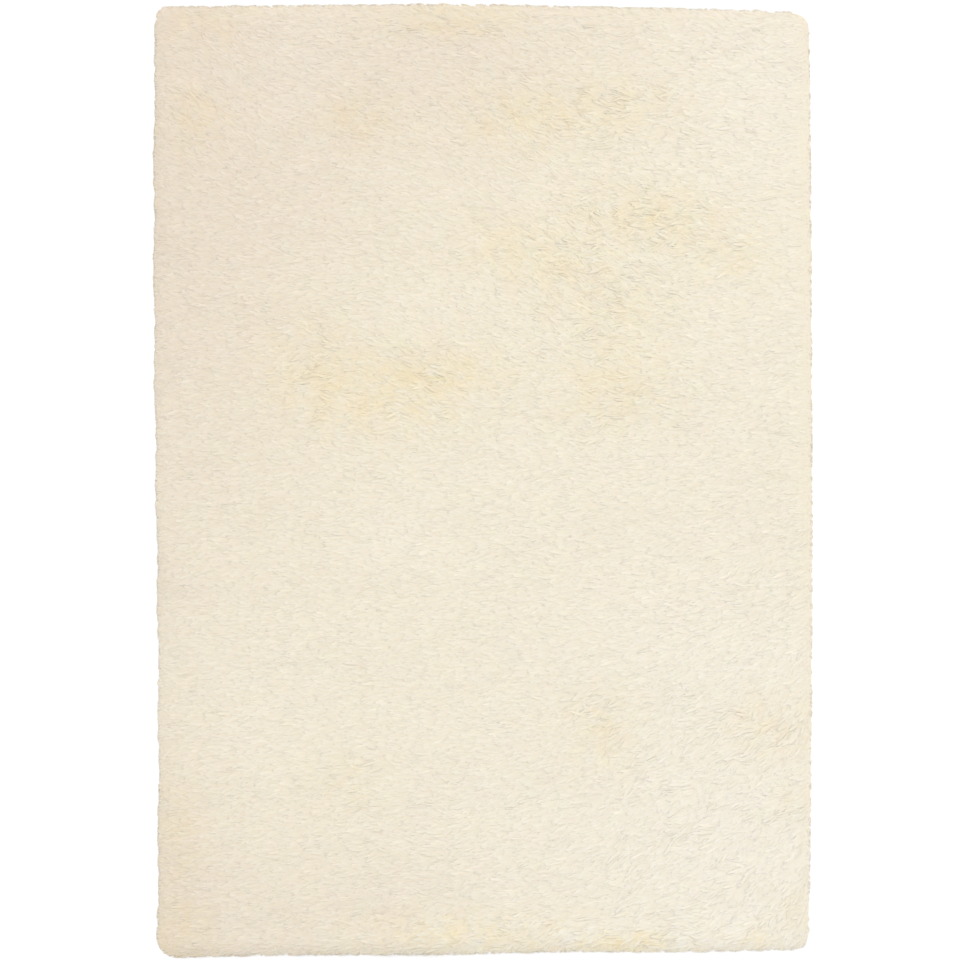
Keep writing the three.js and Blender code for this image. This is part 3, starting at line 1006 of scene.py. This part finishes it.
# Chance gives each lock these, each from a seed of its own: its place in this row, counted from 1.
CHANCES = ["splay", "turn", "length", "reach", "curl", "rise", "thickness", "breadth",
           "shade", "warmth", "glint", "overhang", "hanging"]


# %% Kit for geometry trees
class LayKit(Kit):
    def named(self, name, kind="FLOAT_VECTOR"):
        found = self.node("GeometryNodeInputNamedAttribute", {"Name": name}, data_type=kind)
        return found.outputs["Attribute"]

    def stored(self, geometry, name, value, kind="FLOAT_VECTOR", domain="POINT"):
        inputs = {"Geometry": geometry, "Name": name, "Value": value}
        made = self.node("GeometryNodeStoreNamedAttribute", inputs, data_type=kind, domain=domain)
        return made.outputs["Geometry"]

    def chance(self, name, low, high):
        """A number from low to high that is the same at every point of a lock."""
        # By number, because sockets of several kinds share a name: Min, Max, ID and Seed.
        inputs = {2: low, 3: high, 7: self.named("lock_number", "INT"), 8: CHANCES.index(name) + 1}
        return self.node("FunctionNodeRandomValue", inputs, data_type="FLOAT").outputs[1]

    def noise(self, place, size):
        """A soft noise around a half, with swells of about this size."""
        inputs = {"Vector": self.scaled(place, self.math("DIVIDE", 1.0, size)), "Scale": 1.0, "Detail": 1.0}
        return self.node("ShaderNodeTexNoise", inputs).outputs["Fac"]

    def ray_down(self, target, place):
        """Where a ray that is dropped over this place meets the target."""
        parts = self.parts(place)
        above = self.joined(parts["X"], parts["Y"], RAY_START)
        inputs = {"Target Geometry": target, "Source Position": above, "Ray Direction": (0.0, 0.0, -1.0),
                  "Ray Length": 2 * RAY_START}
        return self.node("GeometryNodeRaycast", inputs).outputs


# %% [markdown]
# ### Scatter
#
# A root needs a little room inside the rim, so that its lock can lean out without reaching too far. Where
# the comb points inwards the lock leans away from the rim, and its root may sit closer to it.

# %% Scatter the locks
SCATTER_DENSITY = 120000.0     # points tried for each square metre, before the spacing thins them
MARGIN_GIVEN_UP = 0.8          # the share of the rim margin that goes where the comb points inwards
STRIP_GAP = 1e-7               # a point on the line between two strips belongs to the one on its right


def scatter_locks(kit, given):
    """A straight lock on each point of the strip, which keeps its number and its root."""
    scatter = kit.node("GeometryNodeDistributePointsOnFaces", {
        "Mesh": given["Geometry"], "Distance Min": given["Spacing"],
        "Density Max": SCATTER_DENSITY, "Seed": given["Seed"]}, distribute_method="POISSON")
    position = kit.node("GeometryNodeInputPosition").outputs["Position"]
    place_x = kit.parts(position)["X"]
    outside = kit.node("FunctionNodeBooleanMath", {
        0: kit.math("LESS_THAN", place_x, given["Strip left"]),
        1: kit.math("GREATER_THAN", place_x, kit.math("SUBTRACT", given["Strip right"], STRIP_GAP)),
    }, operation="OR")
    outwards = kit.vector("DOT_PRODUCT", kit.named("comb"), kit.named("way_out"))
    share = kit.math("MULTIPLY_ADD", outwards, MARGIN_GIVEN_UP, 1.0)
    margin = kit.math("MULTIPLY", given["Rim margin"], kit.limited(share, 1 - MARGIN_GIVEN_UP, 1.0))
    too_near = kit.math("LESS_THAN", kit.named("from_rim", "FLOAT"), margin)
    unwanted = kit.node("FunctionNodeBooleanMath", {0: outside.outputs[0], 1: too_near}, operation="OR")
    points = kit.node("GeometryNodeDeleteGeometry", {
        "Geometry": scatter.outputs["Points"], "Selection": unwanted.outputs[0]}, domain="POINT")
    index = kit.node("GeometryNodeInputIndex").outputs["Index"]
    numbered = kit.stored(points.outputs["Geometry"], "lock_number", index, "INT")
    rooted = kit.stored(numbered, "root", position)
    lock = kit.node("GeometryNodeObjectInfo", {"Object": given["Lock"]}, transform_space="ORIGINAL")
    laid = kit.node("GeometryNodeInstanceOnPoints", {
        "Points": rooted, "Instance": lock.outputs["Geometry"]})
    realized = kit.node("GeometryNodeRealizeInstances", {"Geometry": laid.outputs["Instances"]})
    return realized.outputs["Geometry"]


# %% [markdown]
# ### What each point of a lock knows
#
# Every point has its place in the pattern, its lock's root and what the skin kept there. Tousled pile is
# ruffled unevenly, so a noise makes the tousle stronger in some handfuls and weaker in others.

# %% Facts of a lock
RUFFLE = {"gain": 2.0, "start": -0.05, "least": 0.4, "most": 1.4}    # the noise as a factor, and its limits
# Chance gives each lock a share of the tree's own sizes, between these two.
LENGTH_SPREAD = (0.45, 1.05)
THICKNESS_SPREAD = (0.75, 1.25)
BREADTH_SPREAD = (0.4, 1.35)


def lock_facts(kit, given):
    """The values that the steps below share, for each point of a lock."""
    root = kit.named("root")
    way_out = kit.named("way_out")
    side_share, along, up_share = kit.parts(kit.named("lock_place"))
    ruffle = kit.noise(root, given["Ruffle size"])
    ruffled = kit.math("MULTIPLY_ADD", ruffle, RUFFLE["gain"], RUFFLE["start"])
    ruffled = kit.limited(ruffled, RUFFLE["least"], RUFFLE["most"])
    inwards = kit.math("MULTIPLY", kit.vector("DOT_PRODUCT", kit.named("comb"), way_out), -1.0)
    return SimpleNamespace(
        root=root,
        way_out=way_out,
        from_rim=kit.named("from_rim", "FLOAT"),
        side_share=side_share,
        along=along,
        up_share=up_share,
        tousle=kit.math("MULTIPLY", kit.named("tousle", "FLOAT"), ruffled),
        inwards=kit.limited(inwards, 0.0, 1.0),
        length=kit.math("MULTIPLY", given["Lock length"], kit.chance("length", *LENGTH_SPREAD)),
        thickness=kit.math("MULTIPLY", given["Lock thickness"], kit.chance("thickness", *THICKNESS_SPREAD)),
        breadth=kit.math("MULTIPLY", given["Lock breadth"], kit.chance("breadth", *BREADTH_SPREAD)),
    )


# %% [markdown]
# ### Lean
#
# A lock leans with the comb. Near the rim nothing holds it, so the lean opens outwards, but not where the
# comb points inwards: there the locks lie in from the rim, and only some of the outermost ones hang over
# it. A clump turns its locks together, and each turns a little more by itself.

# %% Lean of a lock
SPLAY_BREADTH = 0.050        # the lean opens outwards this near to the rim
SPLAY_DOUBT = 0.75           # chance holds some locks back from it
SPLAY_GAIN = 1.5
COMB_GIVEN_UP = 0.5          # the share of the comb that a lock at the rim loses
HANG_BREADTH = 0.016         # locks this near to the rim may hang over it against the comb
HANG_INWARDS = 0.3           # where the comb points inwards by more than this
HANG_CHANCE = (-0.8, 1.0)    # at the very rim, five locks in nine hang over
CLUMP_GAIN = 4.0             # stretches the noise round a half to a turn of either sign


def lean_of_lock(kit, given, lock):
    """The way a lock leans from its root, as a unit vector."""
    nearness = kit.math("SUBTRACT", 1.0, kit.math("DIVIDE", lock.from_rim, SPLAY_BREADTH))
    willing = kit.math("SUBTRACT", kit.limited(nearness, 0.0, 1.0), kit.chance("splay", 0.0, SPLAY_DOUBT))
    splay = kit.limited(kit.math("MULTIPLY", willing, SPLAY_GAIN), 0.0, 1.0)
    splay = kit.math("MULTIPLY", splay, kit.math("SUBTRACT", 1.0, lock.inwards))
    combed = kit.scaled(kit.named("comb"), kit.math("MULTIPLY_ADD", splay, -COMB_GIVEN_UP, 1.0))
    lean = kit.vector("ADD", combed, kit.scaled(lock.way_out, splay))
    nearness = kit.math("DIVIDE", lock.from_rim, HANG_BREADTH)
    hanging = kit.math("LESS_THAN", nearness, kit.chance("hanging", *HANG_CHANCE))
    hanging = kit.math("MULTIPLY", hanging, kit.math("GREATER_THAN", lock.inwards, HANG_INWARDS))
    lean = kit.mixed(hanging, lean, lock.way_out, "VECTOR")
    clump = kit.math("MULTIPLY_ADD", kit.noise(lock.root, given["Clump size"]), CLUMP_GAIN, -CLUMP_GAIN / 2)
    clump_turn = kit.math("MULTIPLY", clump, given["Clump turn"])
    own_turn = kit.math("MULTIPLY", kit.chance("turn", -1.0, 1.0), given["Turn spread"])
    turn = kit.math("MULTIPLY", kit.math("ADD", clump_turn, own_turn), lock.tousle)
    turned = kit.node("ShaderNodeVectorRotate", {
        "Vector": kit.vector("NORMALIZE", lean), "Angle": turn}, rotation_type="Z_AXIS").outputs["Vector"]
    return kit.vector("NORMALIZE", turned)


# %% [markdown]
# ### Place in plan
#
# Seen from above, a lock runs out from its root along its lean and curls a little aside. Past the rim it
# may hang over by so much and no more, which keeps the edge of the rug even.

# %% Place of a lock's point in plan
LYING_SHARE = 0.92           # of a lock's length that shows from above
RUN_BEND = 1.1               # over 1: the points of a lock crowd towards its root
CURL_BEND = 2.0              # over 1: a lock curls most towards its tip
RIM_REACH = (0.005, 0.010)   # how far past the rim a lock may run before it is held
LEAST_FACING = 0.05          # limits the room of a lock that leans along the rim or away from it
OVERHANG = (0.001, 0.004)    # how far past the rim a held point may lie
OVERHANG_GIVEN_UP = 0.6      # the share of the overhang that goes where the comb points inwards


def place_in_plan(kit, given, lock):
    """Where a point of a lock lies seen from above."""
    facing = kit.math("MAXIMUM", kit.vector("DOT_PRODUCT", lock.lean, lock.way_out), LEAST_FACING)
    room = kit.math("DIVIDE", kit.math("ADD", lock.from_rim, kit.chance("reach", *RIM_REACH)), facing)
    reach = kit.math("MINIMUM", kit.math("MULTIPLY", lock.length, LYING_SHARE), room)
    run = kit.math("MULTIPLY", reach, kit.math("POWER", lock.along, RUN_BEND))
    curl = kit.math("MULTIPLY", kit.chance("curl", -1.0, 1.0), given["Curl"])
    curl = kit.math("MULTIPLY", curl, kit.math("POWER", lock.along, CURL_BEND))
    moved = kit.vector("ADD", kit.scaled(lock.lean, run), kit.scaled(lock.sideways, curl))
    free = kit.vector("ADD", lock.root, moved)

    flat_place = kit.vector("MULTIPLY", free, (1.0, 1.0, 0.0))
    nearest = kit.node("GeometryNodeProximity", {
        "Geometry": given["Geometry"], "Sample Position": flat_place}, target_element="FACES")
    to_rim = kit.vector("MULTIPLY", nearest.outputs["Position"], (1.0, 1.0, 0.0))
    past = kit.vector("SUBTRACT", flat_place, to_rim)
    kept_back = kit.math("MULTIPLY_ADD", lock.inwards, -OVERHANG_GIVEN_UP, 1.0)
    overhang = kit.math("MULTIPLY", kit.chance("overhang", *OVERHANG), kept_back)
    past_length = kit.math("MAXIMUM", kit.vector("LENGTH", past), HAIR)
    kept = kit.math("MINIMUM", kit.math("DIVIDE", overhang, past_length), 1.0)
    held = kit.vector("ADD", to_rim, kit.scaled(past, kept))
    over_skin = kit.ray_down(given["Geometry"], free)["Is Hit"]
    return kit.node("GeometryNodeSwitch", {
        "Switch": over_skin, "False": held, "True": free}, input_type="VECTOR").outputs["Output"]


# %% [markdown]
# ### Height
#
# A root sits just under the skin, and the lock climbs out and lies along it. A ray dropped on the skin
# finds the surface under each point. Where there is none the floor takes over, so a lock that reaches past
# the rim comes down and rests on the floor. Most locks lie close, and chance lets a few arch proud of the
# rest, higher where the pile is tousled. At a rim that the locks lie in from, the roots stay on the skin,
# so that it isn't left bare.

# %% Height of a lock's point
SKY_SHARE = (0.0, 0.0, 0.5)  # added to the skin's own facing, so that locks on the rim face partly upwards
ROOT_BEND = 1.4              # over 1: a lock climbs out soon after its root
ROOT_MOST = 0.7              # a root is sunk by this share of the pile's height at most
BARE_BREADTH = 0.030         # of a rim that the locks lie in from
RISE_POWER = 4.0             # the higher, the fewer locks stand proud
PROUD = {"most": 0.0027, "least": -0.0004}    # above the skin; most locks lie a little under it
LIFT_CLIMB = 2.6             # a lock that stands proud climbs by this from its root
LIFT_FALL = 2.3              # and falls back by this towards its tip
FLOOR_CLEAR = 0.0002         # left between a lock and the floor


def height_of_lock(kit, given, lock):
    """The height of a point of a lock, and the way the skin faces below it."""
    ray = kit.ray_down(given["Geometry"], lock.middle)
    facing_up = kit.vector("NORMALIZE", kit.vector("ADD", ray["Hit Normal"], SKY_SHARE))
    skin_height = kit.parts(ray["Hit Position"])["Z"]
    most = kit.math("MULTIPLY", kit.parts(lock.root)["Z"], ROOT_MOST)
    root_depth = kit.math("MINIMUM", given["Root depth"], most)
    bare = kit.math("SUBTRACT", 1.0, kit.math("DIVIDE", lock.from_rim, BARE_BREADTH))
    bare = kit.math("MULTIPLY", lock.inwards, kit.limited(bare, 0.0, 1.0))
    root_depth = kit.math("MULTIPLY", root_depth, kit.math("SUBTRACT", 1.0, bare))
    depth_share = kit.math("POWER", kit.math("SUBTRACT", 1.0, lock.along), ROOT_BEND)
    sunk = kit.math("MULTIPLY", root_depth, depth_share)
    rise = kit.math("MULTIPLY", kit.math("POWER", kit.chance("rise", 0.0, 1.0), RISE_POWER), lock.tousle)
    proud = kit.math("MULTIPLY_ADD", rise, PROUD["most"], PROUD["least"])
    settle = kit.math("MULTIPLY", lock.along, kit.math("MULTIPLY_ADD", lock.along, -LIFT_FALL, LIFT_CLIMB))
    lift = kit.math("MULTIPLY", proud, settle)
    height = kit.math("ADD", kit.math("SUBTRACT", skin_height, sunk), lift)
    return kit.math("MAXIMUM", height, kit.math("ADD", lock.thickness, FLOOR_CLEAR)), facing_up


# %% [markdown]
# ### What the finish reads
#
# Each point also keeps the way the skin faces, for its soft normals, its places along the lock and along
# the nap, which the grain follows, and its lock's tint. The colours of a strip can be baked on one map, so
# each lock gets a small cell of that map to itself.

# %% Keep what the finish reads
FIBRE_STEP = 0.37            # moves the grain from one lock to the next, so that no two match
CELL_SHARE = 0.8             # of a cell of the map that its lock fills


def keep_for_finish(kit, given, lock, geometry):
    """The locks with all that their finish reads stored on them."""
    number = kit.named("lock_number", "INT")
    across = kit.math("MULTIPLY", lock.side_share, lock.breadth)
    yarn = kit.joined(across, kit.math("MULTIPLY", lock.along, lock.length),
                      kit.math("MULTIPLY", number, FIBRE_STEP))
    nap = kit.node("GeometryNodeSampleNearestSurface", {
        "Mesh": given["Geometry"], "Value": kit.named("skin_nap_place"), "Sample Position": lock.centre},
        data_type="FLOAT_VECTOR").outputs["Value"]
    tint = kit.joined(*(kit.chance(name, 0.0, 1.0) for name in ("shade", "warmth", "glint")))
    kept = kit.stored(geometry, "skin_facing", lock.facing_up)
    kept = kit.stored(kept, "yarn_place", yarn)
    kept = kit.stored(kept, "nap_place", nap)
    kept = kit.stored(kept, "lock_tint", tint)
    column = kit.math("FLOORED_MODULO", number, given["Map columns"])
    row = kit.math("FLOOR", kit.math("DIVIDE", number, given["Map columns"]))
    edge = (1 - CELL_SHARE) / 2
    cell_size = (CELL_SHARE, CELL_SHARE, 0.0)
    own_place = kit.vector("MULTIPLY_ADD", kit.named("OFBake"), cell_size, (edge, edge, 0.0))
    cells = kit.joined(given["Map columns"], given["Map rows"], 1.0)
    map_place = kit.vector("DIVIDE", kit.vector("ADD", kit.joined(column, row, 0.0), own_place), cells)
    return kit.stored(kept, "OFBake", map_place, "FLOAT2", "CORNER")


# %% Tree that lays the locks
def build_lay_locks():
    """The whole tree: scatter, lean, plan, height, and what the finish reads."""
    tree = bpy.data.node_groups.new("lay_locks", "GeometryNodeTree")
    start, end = group_sockets(tree, TREE_INPUTS, {"Geometry": "NodeSocketGeometry"})
    given = start.outputs
    kit = LayKit(tree)
    locks = scatter_locks(kit, given)
    lock = lock_facts(kit, given)
    lock.lean = lean_of_lock(kit, given, lock)
    lean_x, lean_y, _ = kit.parts(lock.lean)
    lock.sideways = kit.joined(lean_y, kit.math("MULTIPLY", lean_x, -1.0), 0.0)
    lock.middle = place_in_plan(kit, given, lock)
    height, lock.facing_up = height_of_lock(kit, given, lock)
    middle_x, middle_y, _ = kit.parts(lock.middle)
    lock.centre = kit.joined(middle_x, middle_y, height)

    # A lock's section lies across its lean and up from the skin.
    aside = kit.scaled(lock.sideways, kit.math("MULTIPLY", lock.side_share, lock.breadth))
    upward = kit.scaled(lock.facing_up, kit.math("MULTIPLY", lock.up_share, lock.thickness))
    placed = kit.vector("ADD", lock.centre, kit.vector("ADD", aside, upward))
    bent = kit.node("GeometryNodeSetPosition", {"Geometry": locks, "Position": placed}).outputs["Geometry"]
    kept = keep_for_finish(kit, given, lock, bent)
    smooth = kit.node("GeometryNodeSetShadeSmooth", {"Geometry": kept}).outputs["Geometry"]
    finished = kit.node("GeometryNodeSetMaterial", {"Geometry": smooth, "Material": given["Finish"]})
    tree.links.new(finished.outputs["Geometry"], end.inputs["Geometry"])
    return tree


lay_locks = build_lay_locks()
print("tree", lay_locks.name, "with", len(lay_locks.nodes), "nodes")

# %% [markdown]
# ## Strips of pile
#
# The whole pile would be too heavy as one mesh, so it is made in long strips, each the full length of the
# rug. The points are scattered over the whole skin every time, with the same seed, so neighbouring strips
# meet without a seam. Each result becomes a plain mesh, and the modifier goes.

# %% Make the strips
STRIP_COUNT = 5
STRIP_SPARE = 0.05       # how far the outermost strips reach past the skin, to take in its very edge
SOFTNESS = 0.77          # how far a lock's normals turn from its own to the skin's


def soften(mesh):
    """Turns the normals of the locks most of the way to those of the skin, so that light falls softly."""
    own = np.empty((len(mesh.vertices), 3))
    facing = np.empty((len(mesh.vertices), 3))
    mesh.vertices.foreach_get("normal", own.ravel())
    mesh.attributes["skin_facing"].data.foreach_get("vector", facing.ravel())
    soft = (1 - SOFTNESS) * own + SOFTNESS * facing
    soft /= np.linalg.norm(soft, axis=1, keepdims=True)
    mesh.normals_split_custom_set_from_vertices(soft)
    mesh.attributes.remove(mesh.attributes["skin_facing"])


def make_strip(name, left, right):
    """One strip of the pile as a plain mesh, with the tree's inputs set by their identifiers."""
    made = bpy.data.objects.new(name, skin_mesh)
    scene.collection.objects.link(made)
    modifier = made.modifiers.new("lay_locks", "NODES")
    modifier.node_group = lay_locks
    values = {"Lock": pattern, "Finish": pile, "Strip left": left, "Strip right": right}
    for item in lay_locks.interface.items_tree:
        if item.name in values:
            modifier[item.identifier] = values[item.name]
    scene.view_layers[0].update()
    depsgraph = bpy.context.evaluated_depsgraph_get()
    mesh = bpy.data.meshes.new_from_object(made.evaluated_get(depsgraph), depsgraph=depsgraph)
    made.modifiers.clear()
    soften(mesh)
    mesh.name = name
    made.data = mesh
    return made


bounds_x = np.linspace(-SLAB_WIDTH / 2, SLAB_WIDTH / 2, STRIP_COUNT + 1)
bounds_x[0] -= STRIP_SPARE
bounds_x[-1] += STRIP_SPARE
strips = []
for number in range(STRIP_COUNT):
    strip = make_strip(f"pile_locks_{number + 1}", float(bounds_x[number]), float(bounds_x[number + 1]))
    strips.append(strip)
    locks = len(strip.data.vertices) // len(pattern.data.vertices)
    strip.data.calc_loop_triangles()
    print(strip.name, locks, "locks", len(strip.data.loop_triangles), "triangles")

bpy.data.objects.remove(pattern)
bpy.data.meshes.remove(skin_mesh)
print("strips", len(strips))

# %% [markdown]
#
# Everything rides on the rug's one body and stands for the slab, which is hidden. The ground cloth is cut
# to its flat size and laid down, and the bed and the locks go with it.

# %% Ride and replace
for piece in (ground_cloth, pile_bed, *strips):
    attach(piece, BODY)
    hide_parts(RUG_NODE)
print("pieces on", BODY, [piece.name for piece in (ground_cloth, pile_bed, *strips)])

# %% Size of the slab
print("cad box", [round(v, 4) for v in (*cad_low, *cad_high)])
